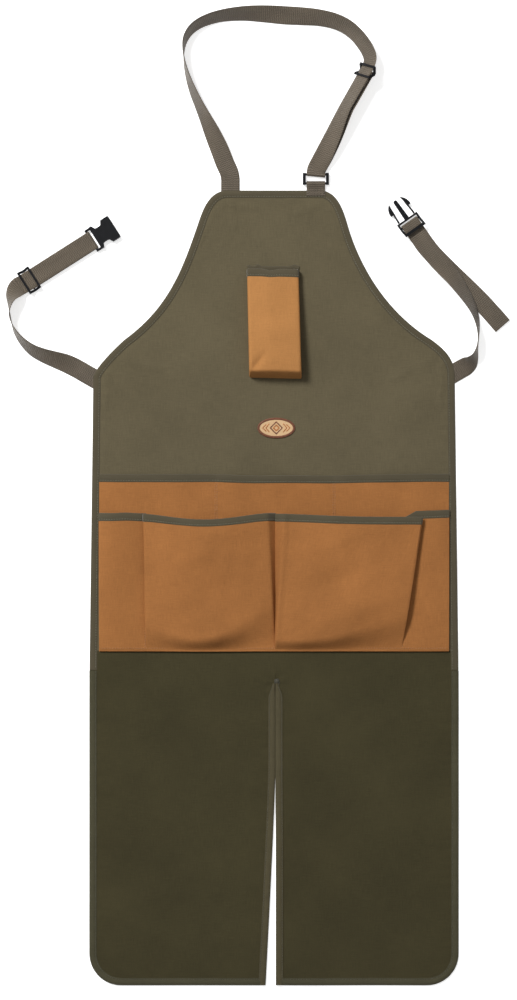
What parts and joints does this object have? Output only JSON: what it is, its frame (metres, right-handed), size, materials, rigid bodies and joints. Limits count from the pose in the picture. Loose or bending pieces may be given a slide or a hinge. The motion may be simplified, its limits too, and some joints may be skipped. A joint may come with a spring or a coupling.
{
  "type": "artist smock apron",
  "caption": "Split-leg canvas apron lying flat, with bellows and flat tool pockets, a chest pouch, an adjustable neck loop and a waist belt with a side-release buckle.",
  "frame": {"origin": "on the apron's flat back face, on its centre line, level with the waist straps' seams", "axes": "+Y from the hem towards the neck, +Z out of the front face, +X to the right as the front is seen"},
  "size_m": [0.675, 1.3109, 0.0305],
  "materials": {
    "bib_canvas": "heavy cotton canvas",
    "leg_canvas": "heavy cotton canvas",
    "pocket_canvas": "brushed cotton canvas",
    "trim_tape": "folded cotton tape with a stitch line",
    "leg_trim": "turned and stitched canvas hem",
    "webbing": "woven polyester webbing",
    "patch": "woven satin patch with a merrowed border",
    "buckle_plastic": "moulded acetal"
  },
  "bodies": {
    "apron": {"bib_panel": "bib_canvas", "bib_binding": "trim_tape", "skirt_yoke": "leg_canvas", "slit_bartack": "leg_trim", "upper_pocket_panel": "pocket_canvas", "upper_pocket_hem": "trim_tape", "pocket_bottom_seam": "pocket_canvas", "left_flat_pocket": "pocket_canvas", "right_flat_pocket": "pocket_canvas", "left_bellows_front": "pocket_canvas", "right_bellows_front": "pocket_canvas", "left_bellows_pleats": "pocket_canvas", "right_bellows_pleats": "pocket_canvas", "lower_pocket_hem": "trim_tape", "chest_pouch_front": "pocket_canvas", "chest_pouch_gusset": "pocket_canvas", "chest_pouch_hem": "trim_tape", "badge": "patch", "neck_keeper": "webbing", "neck_strap_anchor": "webbing", "left_strap_anchor": "webbing", "right_strap_anchor": "webbing"},
    "left_leg": {"left_leg_panel": "leg_canvas", "left_leg_binding": "leg_trim"},
    "right_leg": {"right_leg_panel": "leg_canvas", "right_leg_binding": "leg_trim"},
    "neck_loop": {"neck_ring": "buckle_plastic", "neck_strap": "webbing", "neck_strap_return": "webbing"},
    "neck_adjuster": {"neck_slider": "buckle_plastic", "neck_strap_end": "webbing"},
    "left_waist_strap": {"left_strap": "webbing", "left_strap_return": "webbing"},
    "waist_adjuster": {"waist_slider": "buckle_plastic", "left_strap_end": "webbing"},
    "socket": {"buckle_socket": "buckle_plastic"},
    "right_waist_strap": {"right_strap": "webbing", "right_strap_tail": "webbing"},
    "plug": {"buckle_plug": "buckle_plastic", "plug_guide": "buckle_plastic"},
    "plug_left_prong": {"left_prong": "buckle_plastic"},
    "plug_right_prong": {"right_prong": "buckle_plastic"}
  },
  "joints": [
    {"name": "left_leg_fold", "type": "hinge", "parent": "apron", "child": "left_leg", "pos_m": [0, -0.424, 0.0034], "axis": [-1, 0, 0], "range_deg": [0, 150]},
    {"name": "right_leg_fold", "type": "hinge", "parent": "apron", "child": "right_leg", "pos_m": [0, -0.424, 0.0034], "axis": [-1, 0, 0], "range_deg": [0, 150]},
    {"name": "neck_loop_fold", "type": "hinge", "parent": "apron", "child": "neck_loop", "pos_m": [0.056, 0.2563, 0.0034], "axis": [1, 0, 0], "range_deg": [0, 120]},
    {"name": "neck_adjust", "type": "slide", "parent": "neck_loop", "child": "neck_adjuster", "axis": [-0.4924, -0.8704, 0], "range_m": [0, 0.03], "deforming": ["neck_strap_return"]},
    {"name": "left_strap_fold", "type": "hinge", "parent": "apron", "child": "left_waist_strap", "pos_m": [-0.25, 0.0005, 0.0034], "axis": [0.5, 0.866, 0], "range_deg": [0, 110]},
    {"name": "waist_adjust", "type": "slide", "parent": "left_waist_strap", "child": "waist_adjuster", "axis": [0.8434, 0.5373, 0], "range_m": [0, 0.06], "deforming": ["left_strap_return"]},
    {"name": "socket_tilt", "type": "hinge", "parent": "left_waist_strap", "child": "socket", "pos_m": [-0.244, 0.17949, 0.0034], "axis": [0.5373, -0.8434, 0], "range_deg": [0, 70]},
    {"name": "right_strap_fold", "type": "hinge", "parent": "apron", "child": "right_waist_strap", "pos_m": [0.25, 0.0075, 0.0034], "axis": [0.5, -0.866, 0], "range_deg": [0, 110]},
    {"name": "plug_tilt", "type": "hinge", "parent": "right_waist_strap", "child": "plug", "pos_m": [0.182, 0.203, 0.0034], "axis": [0.8192, 0.5736, 0], "range_deg": [0, 12]},
    {"name": "left_prong_flex", "type": "hinge", "parent": "plug", "child": "plug_left_prong", "pos_m": [0.16684, 0.20338, 0.0034], "axis": [0, 0, -1], "range_deg": [0, 7], "stiffness_Nm_per_rad": 0.2},
    {"name": "right_prong_flex", "type": "hinge", "parent": "plug", "child": "plug_right_prong", "pos_m": [0.18683, 0.21737, 0.0034], "axis": [0, 0, 1], "range_deg": [0, 7], "stiffness_Nm_per_rad": 0.2}
  ]
}
